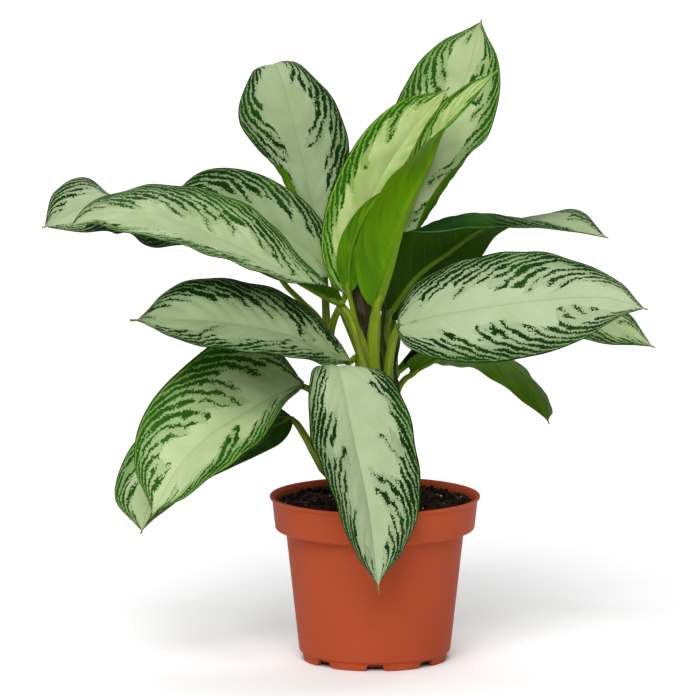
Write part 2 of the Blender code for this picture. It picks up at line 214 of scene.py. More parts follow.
def tubeFaces(rows, columns, start=0):
    # rings joined into a tube with a cap on each end
    faces = gridFaces(rows, columns, start, closed=True).tolist()
    faces.append([start + i for i in range(columns)][::-1])
    faces.append([start + (rows - 1) * columns + i for i in range(columns)])
    return faces


def addPiece(name, vertices, faces, materials, replaced=(),
             readings=None, faceMaterials=None, sharp=None):
    # a mesh piece in millimetres that rides on the plant's one body
    mesh = bpy.data.meshes.new(name)
    corners = [list(map(int, face)) for face in faces]
    mesh.from_pydata((np.asarray(vertices) * mm).tolist(), [], corners)
    for material in materials:
        mesh.materials.append(material)
    mesh.polygons.foreach_set("use_smooth", np.ones(len(mesh.polygons), bool))
    if faceMaterials is not None:
        mesh.polygons.foreach_set("material_index", np.asarray(faceMaterials, np.int32))
    for key, values in (readings or {}).items():
        layer = mesh.attributes.new(key, "FLOAT", "POINT")
        layer.data.foreach_set("value", np.asarray(values, np.float32).ravel())
    if sharp is not None:
        mesh.set_sharp_from_angle(angle=math.radians(sharp))
    mesh.update()
    piece = bpy.data.objects.new(name, mesh)
    bpy.context.scene.collection.objects.link(piece)
    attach(piece, "root")
    if replaced:
        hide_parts(*replaced)
    return piece


# leaf finishes: the upper side is silver with dark dashes towards the margins

leafColours = {
    "silver": (0.37, 0.45, 0.275), "silverDeep": (0.215, 0.295, 0.135),
    "pale": (0.52, 0.63, 0.25), "paleDeep": (0.34, 0.47, 0.11),
    "band": (0.105, 0.175, 0.062), "bandVivid": (0.085, 0.215, 0.02), "bandYoung": (0.12, 0.29, 0.02),
    "stripe": (0.003, 0.025, 0.002), "stripeYoung": (0.020, 0.088, 0.004),
    "rim": (0.20, 0.33, 0.08), "rimYoung": (0.38, 0.50, 0.03), "tip": (0.20, 0.16, 0.05),
    # under is as dark as an older leaf's underside looks in shade, so it carries painted shade;
    # underYoung is the lime of young undersides
    "under": (0.012, 0.042, 0.001), "underDeep": (0.010, 0.036, 0.002),
    "underYoung": (0.105, 0.235, 0.001), "underYoungDeep": (0.055, 0.15, 0.002),
    "underRib": (0.11, 0.20, 0.012),
}
stripeShape = {
    "period": 13.0,  # from one lane of dashes to the next, in mm
    "wander": 1.3,  # how far the lanes bend, in lanes
    "inner": 0.84,  # where dashes begin, as a share of the half width
    "reach": 0.36,  # how much nearer the midrib they begin in a cluster
    "wide": 0.30,  # half width of a dash, as a share of its lane
    "teeth": 1.5, "ragged": 1.05, "breaks": 0.75,  # size and strength of the ragged edges
    "pieces": 6.0, "gaps": 0.20,  # pieces from midrib to margin, and the share left out
}


def leafUpper():
    c, s = leafColours, stripeShape
    f = Finish("leaf_upper", roughness=0.45, Specular_IOR_Level=0.05)
    along, across, vein, toTip = f.readings("along", "across", "vein", "toTip")
    amount, youth, seed, tone, deep = f.readings("stripes", "youth", "seed", "tone", "deep")
    u, offRib = abs(across), abs(f.reading("offRib"))
    own = (seed + 0.5).whole() * 7 + (across > 0) * 3  # each half of each leaf has its own pattern

    # dashes follow lanes that sweep towards the tip
    teeth = f.noise(f.place(along / s["teeth"], offRib / s["teeth"], own)) - 0.5
    bend = f.noise(f.place(along / 13, offRib / 9, own + 50)) - 0.5
    lane = f.reading("lane") / s["period"] + bend * s["wander"]
    cell = lane.whole()
    aside = abs(lane - cell - 0.5)
    breaks = f.noise(f.place(cell * 3.7, u * 8, own), detail=1.0) - 0.5
    clusters = f.between(f.noise(f.place(lane / 2.6, u * 0.5, own + 20), detail=1.0), 0.38, 0.62)

    # each lane has its own inner end, width and missing pieces
    inner = s["inner"] - clusters * s["reach"] - f.chance(f.place(cell, own, 1)) * 0.28 - amount * 0.30
    past = u - inner + teeth * 0.07
    wide = (s["wide"] + (f.chance(f.place(cell, own, 2)) - 0.5) * 0.14
            + (u - 0.8) * 0.30 + amount * 0.05)
    piece = (u * s["pieces"] + f.chance(f.place(cell, own, 3)) + teeth * 0.35).whole()
    kept = f.chance(f.place(cell, own, piece + 10)) > s["gaps"] - u * 0.15 - amount * 0.10
    level = wide - aside + teeth * s["ragged"] + breaks * s["breaks"]
    # deep lays solid dark green over the upper side as painted shade where a part of the leaf lies in
    # another's shadow
    dark = (f.between(level, 0.0, 0.03) * f.between(past, 0.0, 0.012) * kept).most(deep)
    band = (f.between(past + teeth * 0.20, -0.02, 0.02)
            * (0.25 + f.between(u, 0.55, 1.0) * 0.55 + youth * 0.4))

    # the silver field has soft clouds and fine paler lines along the side veins
    clouds = f.between(f.noise(f.place(along / 26, across * 1.8, own), detail=4.0), 0.30, 0.72)
    lines = f.between(f.noise(f.place(vein / 1.6, u * 1.2, own)), 0.45, 0.75)
    # depth darkens the silver towards the base, partly the leaf's own deeper green there and partly
    # painted shade of the plant's crowded middle; tone is painted shade set for each whole leaf, and
    # painted light where it is below zero
    depth = clouds * 0.25 + tone + (1 - f.between(along, 4, 60)) * 0.35
    silver = f.mix(depth, c["silver"], c["silverDeep"])
    colour = f.mix(youth, silver, f.mix(clouds, c["pale"], c["paleDeep"]))
    fieldDeep = f.mix(youth, c["silverDeep"], c["paleDeep"])
    colour = f.mix(lines * 0.15, colour, fieldDeep)
    bandTone = f.mix(youth, f.mix(youth * 2.2, c["band"], c["bandVivid"]), c["bandYoung"])
    colour = f.mix(band, colour, bandTone)
    bright = f.between(f.noise(f.place(along / 45, own, 3)), 0.50, 0.62) * 0.45
    stripeTone = f.mix(youth * 2.4 + bright, c["stripe"], c["stripeYoung"])
    colour = f.mix(dark, colour, stripeTone)
    ribLine = 1 - f.between(offRib, 0.2, 0.9)
    colour = f.mix(ribLine * 0.45, colour, fieldDeep)
    rim = f.between(u, 0.945, 0.955) * (1 - f.between(u, 0.966, 0.974))
    colour = f.mix(rim * (0.25 + youth * 0.5), colour, f.mix(youth, c["rim"], c["rimYoung"]))
    colour = f.mix(f.between(u, 0.970, 0.980), colour, stripeTone)
    colour = f.mix(1 - f.between(toTip, 0.5, 4.0), colour, c["tip"])

    grain = f.noise(f.place(vein / 0.8, offRib / 2.5, own))
    cells = f.noise(f.place(along * 1.3, offRib * 1.3, own), detail=1.0)
    height = grain * 0.6 + cells * 0.3 + lines * 0.3 - dark * 0.12
    return f.use(Base_Color=colour, Roughness=0.40 + clouds * 0.10, Normal=f.bump(height, 0.0003, 0.7))


def leafUnder():
    c = leafColours
    f = Finish("leaf_under", roughness=0.5, Specular_IOR_Level=0.04)
    along, vein, youth, seed, toTip = f.readings("along", "vein", "underYouthAndLight", "seed", "toTip")
    u, offRib = abs(f.reading("across")), abs(f.reading("offRib"))
    clouds = f.noise(f.place(vein / 16, u * 1.5, seed * 5.1))
    streaks = f.noise(f.place(vein / 3.0, u * 1.2, seed * 2.7))
    # the youth read here is real youth on young leaves and painted light on the lit undersides of older
    # leaves
    colour = f.mix(youth, c["under"], c["underYoung"])
    deep = f.mix(youth, c["underDeep"], c["underYoungDeep"])
    shade = f.between(clouds, 0.35, 0.7) * 0.6 + f.between(streaks, 0.5, 0.7) * 0.25
    # besides the random darker mottling, the underside darkens towards the base as painted shade near
    # the plant's middle
    colour = f.mix(shade + (1 - f.between(along, 10, 130)) * 0.55, colour, deep)

    # pale side veins and a raised midrib that narrows to the tip
    beat = f.node("ShaderNodeMath", {"operation": "PINGPONG"}, {0: vein, 1: sideVein["gap"] / 2})
    veins = (1 - f.between(beat, 0.2, 0.9)) * f.between(u, 0.02, 0.2) * (1 - f.between(u, 0.6, 0.95))
    colour = f.mix(veins * 0.16, colour, c["underRib"])
    ribWide = toTip * 0.006 + 0.1
    colour = f.mix((1 - f.between(offRib - ribWide, 0.0, 0.7)) * 0.75, colour, c["underRib"])
    colour = f.mix(f.between(u, 0.965, 0.98) * 0.5, colour, c["underRib"])
    grain = f.noise(f.place(vein / 1.1, offRib / 3, seed))
    return f.use(Base_Color=colour, Normal=f.bump(grain, 0.0002, 0.4))


# leaves, in mm and degrees; a list runs from base to tip, and a pair is the left and right half
# rib is the midrib and face is where the upper side looks along it
# heel and point round the base and the tip, sides scales each half, thread is the thin tip
# fold raises a half from the midrib, curl bends it down to its margin, roll its outer part only
# stripes is how much each half carries, tone darkens the silver of a whole leaf as painted shade, deep
# is solid dark green painted as shade, and youth tints towards yellow green; underYouthAndLight tints
# the underside the same way, for young leaves and as painted light on lit undersides of older leaves;
# wave and quilt scale the relief
# on is the cane, and its top or a height and a compass turn on its side; stalk is the way up,
# stem its thickness, sheath the share of it that is open, and dry how brown its edges are

leafShape = {
    "stations": 120, "halfColumns": 17, "bends": 48, "thickness": 0.5, "edgeThickness": 0.26,
    "channel": 0.85, "channelWidth": 2.1, "wave": 0.9, "waveLength": 37.0, "threadWide": 0.28,
}
sideVein = {"gap": 17.0, "depth": 0.75, "start": 0.9, "sweep": 1.343}
usualLeaf = {
    "widest": .4, "heel": .5, "point": 3, "sides": ([1], [1]), "lean": 0, "thread": 2.5,
    "fold": ([10], [10]), "curl": ([20], [20]), "roll": ([0], [0]), "wave": 1, "quilt": 1,
    "stripes": (0, 0), "tone": 0, "deep": [0], "youth": 0, "underYouthAndLight": .3,
    "stem": 5.5, "sheath": .62, "dry": .35,
}

leaves = {
    "back_left": {
        "rib": [(-43, 82, 331), (-57, 99, 385), (-67, 105, 427), (-76, 113, 459),
                (-83, 126, 469), (-88, 142, 460)],
        "face": [(.15, -.95, .3), (.15, -.95, .3), (.1, -.95, .35), (0, -.6, .8), (-.3, .3, .9)],
        "width": 84, "widest": .5, "heel": .6, "point": 2.8, "thread": 1.5,
        "sides": ([.8, .85, .8, .95, 1.12, .88, .7], [1, 1, 1.02, .96, .72, .6]),
        "fold": ([20, 10, 6, 10, 12], [10]), "curl": ([0, 0, 10, 20, 20], [30]),
        "roll": ([-60, -190, -170, -40, 0, 0, 0], [0]),
        # the high underYouthAndLight here is painted light on this mature leaf's lit underside
        "stripes": (.5, .6), "tone": .45, "underYouthAndLight": .8,
        "on": ("cane_left", 150, 135), "stalk": [(-36, 28, 200), (-39, 48, 260), (-41, 68, 305)]},
    "back_right": {
        "rib": [(19, 40, 326), (32, 50, 368), (53, 62, 415), (74, 68, 466), (86, 66, 511)],
        "face": [(-.1, -.95, .3), (-.1, -.95, .25)],
        "width": 83, "widest": .55, "heel": .7, "thread": 1.5, "lean": -.1,
        "sides": ([1], [1, 1, 1, .9, .85]),
        "fold": ([5], [15, 12, 10, 12]), "curl": ([20], [0, 0, 10, 30]),
        "roll": ([0], [-60, -190, -120, 0, 0, 0]),
        # the high underYouthAndLight here is painted light on this mature leaf's lit underside
        "stripes": (.3, .45), "tone": .15, "youth": .3, "underYouthAndLight": .8,
        "on": ("cane_back", "top"), "stalk": [(13, 18, 210), (13, 26, 240), (15, 34, 290)]},
    "young_pale": {
        "rib": [(-23, 14, 296), (-15, 24, 339), (4, 28, 387), (30, 26, 428), (58, 20, 461)],
        "face": [(.2, -.95, .2), (.2, -.95, .25)],
        "width": 76, "sides": ([.85, .85, .85, .9, 1], [.8, .8, .7, .6, .6]),
        "curl": ([20], [30]), "stripes": (.1, -.6), "youth": .8,
        "on": ("cane_left", "top"), "stalk": [(-32, 13, 220), (-36, 14, 255), (-33, 14, 275)]},
    "young_side": {
        "rib": [(-21, 4, 299), (-19, 5, 331), (-7, 10, 361), (13, 14, 384)],
        "face": [(.2, .95, .2), (.2, .95, .2)], "width": 23, "widest": .35, "point": 1.7,
        "fold": ([0], [0]), "youth": .9, "underYouthAndLight": 1.0,
        "on": ("cane_front", 165, 143), "stalk": [(-4.5, -1, 200), (-9, 0, 245)], "stem": 4},
    "young_front": {
        "rib": [(1, -12, 288), (11, -14, 320), (20, -14, 354), (30, -13, 379), (43, -11, 405),
                (54, -8, 432), (74, -4, 457), (98, 0, 479)],
        "face": [(0, 1, 0), (-.3, .95, 0), (-.7, .7, .1), (-.95, .35, .2), (-.7, -.7, .3),
                 (-.4, -.9, .3)],
        "width": 60, "point": 2.4, "lean": .2,
        "sides": ([.8, .8, .8, .8, .7, .95, 1.1], [1, 1, 1, 1, .7, .5, .5]),
        "fold": ([150, 150, 150, 120, 70, 50], [10, 8, 12, 18, 30, 40]), "curl": ([0], [20]),
        "youth": .8, "underYouthAndLight": 1.0,
        "on": ("cane_front", "top"), "stalk": [(1, -10, 220), (-1.6, -12, 252)],
        "sheath": .85, "stem": 7.5},
    "right_arch": {
        "rib": [(9, 16, 277), (32, 22, 308), (58, 14, 330), (90, 2, 353), (132, -14, 359),
                (184, -32, 349)],
        "face": [(-.3, .8, .5), (-.3, .75, .6), (-.1, .1, 1), (.2, -.8, .6)],
        "width": 84, "sides": ([1, 1, .75, .6, 1.15, 1.15], [1, 1.1, 1.35, .95, .35, .35]),
        "fold": ([10], [20]), "roll": ([0], [0, 0, 0, 120, 150, 80, 0, 0]),
        # deep here is painted shade: the strip of upper side that lies in shadow is coloured solid dark
        # green
        "stripes": (.2, .3), "tone": .4, "deep": [0, 1, 1, 1, .2, 0], "underYouthAndLight": .15,
        "on": ("cane_back", 165, 225), "stalk": [(9, 8.5, 210), (9, 12, 245)], "stem": 7},
    "right_low": {
        "rib": [(18, -26, 276), (52, -42, 287), (115, -66, 301), (178, -86, 308), (213, -98, 301)],
        "face": [(-.1, -.85, .5), (.05, -.85, .5)],
        "width": 96, "heel": .38, "point": 2.5,
        "sides": ([1, 1, 1, .95, .8, .8], [.8, .9, 1, 1, 1.05, 1.1]),
        "fold": ([8], [8]), "curl": ([25], [25]), "stripes": (.5, .2),
        "on": ("cane_front", 150, 330), "stalk": [(12.5, -14, 200), (10.5, -15, 228), (12, -20, 251)],
        "stem": 6.5},
    "right_tail": {
        "rib": [(16, 14.5, 231), (53, 30, 258), (118, 34, 276), (182, 26, 271), (224, 16, 253)],
        "face": [(-.3, .6, .7), (0, .1, 1), (.1, -.3, .9), (.2, -.7, .7)],
        "width": 74, "point": 3.5, "sides": ([.3, .8, 1, 1, 1, 1, 1, 1], [.6, 1, 1, 1, 1, 1, 1, 1]),
        "stripes": (.5, .5), "tone": .35, "youth": .15,
        "on": ("cane_back", 150, 329), "stalk": [(21, 7.5, 190), (15, 10, 215)]},
    "right_back": {
        "rib": [(30, 20, 231), (41, 20, 238), (65, 38, 245), (102, 66, 235), (130, 90, 208),
                (143, 108, 176)],
        "face": [(-.2, .6, .8), (0, .6, .85), (.4, .6, .8)],
        "width": 80, "sides": ([.2, .38, .65, .9, 1, 1, 1, 1, 1], [1]),
        "fold": ([10, 10, 15, 19, 16, 10], [15, 8, -20, -30, -30, -30]),
        # the high underYouthAndLight here is painted light on this mature leaf's underside
        "underYouthAndLight": .6,
        "on": ("cane_back", 150, 45), "stalk": [(19, 23, 185), (17, 24, 205), (20, 23, 219)],
        "stem": 4.8},
    "left_mid": {
        "rib": [(-20, -18, 246), (-48, -32, 261), (-76, -48, 274), (-132, -70, 287), (-189, -86, 290)],
        "face": [(0, -.75, .65), (-.05, -.75, .65)],
        "width": 86, "widest": .5, "heel": .8, "thread": 6,
        "fold": ([36, 34, 20], [10]), "curl": ([10], [20]), "quilt": 2.2,
        "stripes": (.2, .9), "tone": .6,
        "on": ("cane_front", 150, 186), "stalk": [(-9.5, -10, 190), (-13, -9, 228), (-14, -12, 248)]},
    "front_down": {
        "rib": [(-26, -52, 240), (-30, -67, 250.5), (-26, -81, 238), (-16, -92, 190),
                (-6, -109, 145), (2, -118, 81)],
        "face": [(0, -.2, 1), (.1, -.85, .5), (.3, -.95, .2), (.25, -.93, .1)],
        "width": 102, "widest": .42, "heel": .65, "thread": 6,
        "sides": ([1, 1, 1, 1, .95], [.6, .72, .9, .95, .78, .68]),
        "fold": ([5], [-16, 28, 46, 46, 40]), "curl": ([25], [15, 15, 25]),
        "stripes": (.3, .3), "tone": .15,
        "on": ("cane_front", 140, 270), "stalk": [(2, -22, 170), (-6, -30, 205), (-18, -42, 227)]},
    "low_left": {
        "rib": [(-58, -10, 226), (-80, -28, 220), (-120, -62, 202), (-140, -78, 189),
                (-159, -92, 169), (-177, -102, 136)],
        "face": [(-.2, -.8, .6), (-.2, -.85, .5), (-.2, -.9, .4)],
        "width": 100, "widest": .45, "lean": .08,
        "sides": ([.22, .42, .84, 1, .87, .77], [1.5, 1.3, 1.08, 1, .95, .85]),
        "fold": ([10, 20, 25, 10], [25, 25, 15, 5, 0]), "curl": ([0], [0]),
        "stripes": (.35, .65), "tone": -.15, "youth": .3,
        "on": ("cane_left", 140, 270), "stalk": [(-28, -2, 180), (-40, -5, 208)]},
    "low_left_under": {
        "rib": [(-67, 12, 195), (-105, -6, 182), (-149, -30, 164), (-178, -48, 140), (-187, -60, 115)],
        "face": [(-.2, -.6, .7), (-.3, -.7, .6)], "width": 92, "lean": .14,
        "sides": ([.7, .45, .5, .7, .9], [1, 1, 1, 1.1, 1.3]),
        "fold": ([-45, -30, 0, 10, 10], [10]),
        # deep and the high left stripes amount here are painted shade: the near half's base lobe, in
        # the shadow of low_left, is coloured solid dark green
        "stripes": (.8, .5), "youth": .2, "deep": [1, .95, .7, .1, 0, 0, 0, 0, 0],
        "on": ("cane_left", 132, 203), "stalk": [(-37, 8, 145), (-51, 10, 171)]},
    "left_long": {
        "rib": [(-26, -18, 293), (-60, -26, 313), (-92, -34, 332), (-124, -42, 349),
                (-171, -54, 369), (-219, -62, 372), (-241, -68, 363)],
        "face": [(0, -.6, .8), (0, -.5, .85), (0, -.5, .85)],
        "width": 98, "widest": .6, "heel": .8, "thread": 4,
        "fold": ([100, 35, 25, 18, 15, 13, 15], [-10, 0, 15, 14, -2, -12, -10]),
        "curl": ([0], [10]), "quilt": 1.8, "stripes": (-.7, 1.0), "tone": .2, "youth": .12,
        "on": ("cane_front", 165, 235), "stalk": [(-3.5, -17, 200), (-10, -19, 253)],
        "sheath": .8, "dry": .6, "stem": 7.5},
    "left_behind": {
        "rib": [(-36, 28, 310), (-57, 40, 328), (-89, 56, 349), (-130, 76, 360), (-171, 98, 349)],
        "face": [(.1, -1, .15), (0, -1, .2)], "width": 78, "sides": ([1], [.8, .8, .86, .92, 1]),
        "stripes": (0, .4), "tone": .75, "on": ("cane_front", 150, 98),
        "stalk": [(-3, 5.5, 200), (-9, 12, 240), (-14, 16, 252), (-28, 24, 285)]},
    "left_tail": {
        "rib": [(-85, 16, 322), (-125, 12, 343), (-173, 6, 364), (-221, -6, 373), (-264, -30, 357)],
        "face": [(0, .2, 1), (0, .2, 1), (0, .1, 1), (0, 0, 1), (0, -.8, .5), (0, -1, .2)],
        "width": 84, "point": 4.5, "sides": ([1], [1, 1, 1, 1, 1, 1, .85, .8, 1.3]),
        "fold": ([0, 0, -10, -40, 0, 35, 30], [-10, -15, -15, -10, 0, 0]), "curl": ([20], [10]),
        "stripes": (.3, .3), "tone": .15, "on": ("cane_left", 155, 170),
        "stalk": [(-35.5, 12, 200), (-38, 6, 240), (-43, 8, 272), (-59, 12, 290), (-72, 14, 303)],
        "stem": 4.5},
}
leaves = {name: {**usualLeaf, **leaf} for name, leaf in leaves.items()}


def ribPoints(leaf):
    # the midrib runs on past the blade into a short thread-like tip
    before, end = np.array(leaf["rib"][-2], float), np.array(leaf["rib"][-1], float)
    return leaf["rib"][:-1] + [tuple(end + unit(end - before) * leaf["thread"])]


def ribFrame(leaf, t):
    # the midrib's points and the directions along it, out of the upper side and to the right
    points = ribPoints(leaf)
    rib, length = curveThrough(points, t)
    ahead, _ = curveThrough(points, np.clip(t + 0.01, 0, 1))
    behind, _ = curveThrough(points, np.clip(t - 0.01, 0, 1))
    along = unit(ahead - behind)
    faces = unit(np.array(leaf["face"], float))
    up = squareTo(along, np.stack([spread(faces[:, k], t) for k in range(3)], -1))
    return rib, along, up, np.cross(along, up), length


def halfWidth(leaf, t, length):
    # rounded at the base; the thread past the tip is under a millimetre wide
    body = np.minimum(t * length / (length - leaf["thread"]), 1)
    base = np.clip(1 - (1 - body / leaf["widest"]) ** 2, 0, 1) ** leaf["heel"]
    tip = 1 - np.clip((body - leaf["widest"]) / (1 - leaf["widest"]), 0, 1) ** leaf["point"]
    drawn = 1 - 0.25 * smooth(0.88, 0.98, body)
    whole = leaf["width"] / 2 * np.where(body < leaf["widest"], base, tip * drawn)
    return np.maximum(whole, leafShape["threadWide"] + 0.6 * smooth(1, 0.95, t))


def halves(pair, t, v):
    # the left half's list for columns left of the midrib and the right half's for the others
    left, right = [spread(values, t)[:, None] for values in pair]
    return np.where(v[None, :] < 0, left, right)


def bladeRelief(leaf, seed, t, u, sign, distance, vein, offRib):
    # waved margins, side veins pressed in between swellings, and the channel over the midrib
    s = leafShape
    turns = 2 * math.pi * distance / s["waveLength"]
    wave = np.sin(turns + seed * 2.1 + sign * 1.3) + 0.6 * np.sin(turns * 0.43 + seed + sign)
    wave = s["wave"] * leaf["wave"] * wave * u ** 3 * np.sin(math.pi * t)[:, None] ** 0.5
    beat = 2 * math.pi * (vein / sideVein["gap"] + 0.35 * np.sin(vein / 23 + seed))
    quilt = leaf["quilt"] * sideVein["depth"] * (np.abs(np.cos(beat / 2)) - 0.6)
    quilt = quilt * 4 * u * (1 - u) ** 0.8
    channel = -s["channel"] * np.exp(-(offRib / s["channelWidth"]) ** 2)
    channel = channel * smooth(0, 0.06, t)[:, None] * (1 - 0.8 * t)[:, None]
    return wave + quilt + channel


def bladeGrid(leaf, t, v, seed):
    # middle surface of a blade and what its finish reads: rows along t, columns across v
    rib, along, up, right, length = ribFrame(leaf, t)
    u, sign = np.abs(v)[None, :], np.where(v < 0, -1.0, 1.0)[None, :]
    fold, curl, roll = [np.radians(halves(leaf[key], t, v))[..., None]
                        for key in ("fold", "curl", "roll")]
    bends = leafShape["bends"]
    steps = (np.arange(bends) + 0.5) / bends
    reached = np.clip(u[..., None] * bends - np.arange(bends), 0, 1) / bends
    bend = fold - curl * steps - roll * smooth(0.5, 1, steps)
    reach = halfWidth(leaf, t, length)[:, None] * halves(leaf["sides"], t, v)
    reach = reach * (1 + sign * leaf["lean"])
    out = np.sum(np.cos(bend) * reached, -1) * reach * sign
    rise = np.sum(np.sin(bend) * reached, -1) * reach
    surface = rib[:, None] + right[:, None] * out[..., None] + up[:, None] * rise[..., None]

    distance = (t * length)[:, None] + 0 * u
    offRib = reach * u * sign
    vein = distance - leaf["width"] / 2 * (sideVein["start"] * u + sideVein["sweep"] * u ** 3.5)
    lane = distance - leaf["width"] / 2 * (0.5 * u + 1.1 * u ** 3)
    relief = bladeRelief(leaf, seed, t, u, sign, distance, vein, offRib)
    surface = surface + gridNormal(surface) * relief[..., None]
    readings = {"along": distance, "across": v[None, :] + 0 * distance, "vein": vein,
                "lane": lane, "offRib": offRib, "toTip": length - distance}
    return surface, readings


def bladePiece(name, leaf, seed, materials, replaced=()):
    s = leafShape
    even = np.linspace(0, 1, s["stations"])
    t = 0.3 * even + 0.35 * (1 - np.cos(math.pi * even))  # closer together near base and tip
    half = np.linspace(0, 1, s["halfColumns"] + 1) ** 1.25
    v = np.concatenate([-half[:0:-1], half])
    surface, readings = bladeGrid(leaf, t, v, seed)
    normal = gridNormal(surface)
    thick = s["edgeThickness"] + (s["thickness"] - s["edgeThickness"]) * (1 - v[None, :] ** 2)
    ribRadius = (0.31 * leaf["stem"] * (1 - t) ** 0.8 + 0.2)[:, None]
    ridge = 1.5 * ribRadius * np.exp(-(readings["offRib"] / (1.05 * ribRadius)) ** 2)
    upper = surface + normal * (thick / 2)[..., None]
    under = surface - normal * (thick / 2 + ridge)[..., None]

    # the upper side, the underside and a strip round the margin
    rows, columns = len(t), len(v)
    count, quads = rows * columns, (rows - 1) * (columns - 1)
    left, last = np.arange(rows) * columns, np.arange(columns) + (rows - 1) * columns
    loop = np.concatenate([np.arange(columns), left[1:] + columns - 1, last[-2::-1], left[-2:0:-1]])
    following = np.roll(loop, -1)
    faces = np.vstack([
        gridFaces(rows, columns),
        gridFaces(rows, columns, count)[:, ::-1],
        np.stack([loop, loop + count, following + count, following], -1)])
    sides = np.repeat([0, 1, 0], [quads, quads, len(loop)])

    flat = np.zeros((rows, columns))
    readings["seed"] = flat + seed
    for key in ("youth", "underYouthAndLight", "tone"):
        readings[key] = flat + leaf[key]
    readings["deep"] = flat + spread(leaf["deep"], t)[:, None]
    readings["stripes"] = flat + np.where(v[None, :] < 0, *leaf["stripes"])
    readings = {key: np.concatenate([grid.ravel()] * 2) for key, grid in readings.items()}
    vertices = np.vstack([upper.reshape(-1, 3), under.reshape(-1, 3)])
    return addPiece(name, vertices, faces, materials, replaced, readings, sides, sharp=50)


# canes: ringed by old leaf scars; petioles spring from their sides or clasp their tops

canes = {
    "cane_front": {"x": 4.0, "y": -8.0, "top": 190.0, "radius": 7.0},
    "cane_back": {"x": 14.0, "y": 14.0, "top": 185.0, "radius": 6.5},
    "cane_left": {"x": -24.0, "y": 12.0, "top": 180.0, "radius": 6.5},
}
caneLook = {
    "foot": 86.0, "rows": 110, "sides": 40, "ringGap": 7.5, "ringRise": 0.55, "tilt": 0.5,
    "green": (0.13, 0.17, 0.03), "scar": (0.16, 0.10, 0.04), "low": (0.10, 0.08, 0.03),
}


def caneRings(cane):
    # heights and radii of the cane, which swells above its foot and rounds off at the top
    top = cane["top"]
    heights = [caneLook["foot"], 105, 125, 145, 160, top - 8, top - 3.5, top - 1.2, top]
    shares = [0.55, 0.85, 1.0, 1.0, 0.97, 0.92, 0.78, 0.5, 0.2]
    return heights, [cane["radius"] * share for share in shares]


def caneFinish():
    c = caneLook
    f = Finish("cane", roughness=0.55)
    height, ring = f.readings("height", "ring")
    streaks = f.noise(f.objectPlace(), scale=160, detail=3.0)
    colour = f.mix(f.between(height, 125, 150), c["low"], c["green"])
    colour = f.mix(f.between(streaks, 0.5, 0.75) * 0.5, colour, c["scar"])
    colour = f.mix(f.between(ring, 0.4, 0.9), colour, c["scar"])
    return f.use(Base_Color=colour, Normal=f.bump(streaks, 0.0006, 0.6))


def makeCanes():
    c, finish = caneLook, caneFinish()
    turn = fullTurn(c["sides"])
    for name, cane in canes.items():
        heights = np.linspace(c["foot"], cane["top"], c["rows"])
        ring = np.exp(-(((heights / c["ringGap"]) % 1 - 0.5) / 0.1) ** 2)
        hollow = c["ringRise"] * (1 - ring) * smooth(cane["top"], cane["top"] - 12, heights)
        radius = (np.interp(heights, *caneRings(cane)) - hollow)[:, None]
        z, level = heights[:, None], smooth(cane["top"], 150, heights)[:, None]
        vertices = np.stack([cane["x"] + radius * np.cos(turn), cane["y"] + radius * np.sin(turn),
                             z + c["tilt"] * np.sin(turn * 2 + z * 0.4) * level], -1)
        flat = np.zeros((c["rows"], c["sides"]))
        addPiece(name + "_stem", vertices.reshape(-1, 3), tubeFaces(*flat.shape), [finish],
                 [name], {"height": flat + z, "ring": flat + ring[:, None]})
    print("canes made:", len(canes))


# petioles: a sheath that clasps the cane, then a round stalk with a shallow channel

petioleColours = {
    "body": (0.080, 0.125, 0.004), "bright": (0.185, 0.255, 0.006), "shade": (0.035, 0.065, 0.003),
    "dry": (0.12, 0.065, 0.022), "membrane": (0.22, 0.29, 0.035),
}
petioleShape = {
    "rings": 84, "outer": 18, "inner": 14, "under": 18.0,  # under is the run beneath the blade
    "seat": 0.35,  # clearance to the cane
    # from foot to blade: radius against the stalk's, half angle of the wall, hollow and wall
    "radii": [2.3, 1.65, 1.55, 1.42, 1.30, 1.20, 0.95, 0.42],
    "spans": [100, 108, 118, 132, 146, 150, 150, 150],
    "hollows": [0.7, 0.42, 0.32, 0.2, -0.45, -0.62, -0.7, -0.7],
    "walls": [0.35, 0.35, 0.3, 0.25, 0.5, 0.9, 0.9, 0.9], "wallOf": 2.75,
    "clasp": 26.0, "claspGap": 1.5, "claspSpan": 88, "claspHollow": 0.84,
}


def petioleFinish():
    c = petioleColours
    f = Finish("petiole", roughness=0.42, Specular_IOR_Level=0.15)
    along, around, share, edge = f.readings("along", "around", "share", "edge")
    dry, youth, seed = f.readings("dry", "youth", "seed")
    streaks = f.noise(f.place(along / 30, around * 5, seed * 3.3), detail=3.0)
    fine = f.noise(f.place(along / 9, around * 22, seed * 3.3))
    colour = f.mix(f.between(streaks, 0.32, 0.68), c["body"], c["bright"])
    colour = f.mix(f.between(fine, 0.45, 0.75) * 0.45, colour, c["shade"])
    colour = f.mix(youth * 0.6, colour, c["bright"])
    colour = f.mix((1 - f.between(share, 0.02, 0.22)) * 0.45, colour, c["membrane"])
    colour = f.mix(f.between(edge, 0.62, 0.97) * 0.7, colour, c["membrane"])
    colour = f.mix(f.between(edge + (streaks - 0.5) * 0.7, 0.80, 0.93) * dry, colour, c["dry"])
    height = streaks * 0.5 + fine * 0.5
    return f.use(Base_Color=colour, Roughness=0.38 + fine * 0.15, Normal=f.bump(height, 0.0004, 0.5))


def petioleFoot(leaf):
    # against the cane's side at its height, or inside the cane's top
    cane = canes[leaf["on"][0]]
    if leaf["on"][1] == "top":
        return (cane["x"], cane["y"], cane["top"] - 7)
    height, turn = leaf["on"][1], math.radians(leaf["on"][2])
    reach = np.interp(height, *caneRings(cane)) + leaf["stem"] / 2 + petioleShape["seat"]
    return (cane["x"] + reach * math.cos(turn), cane["y"] + reach * math.sin(turn), height)


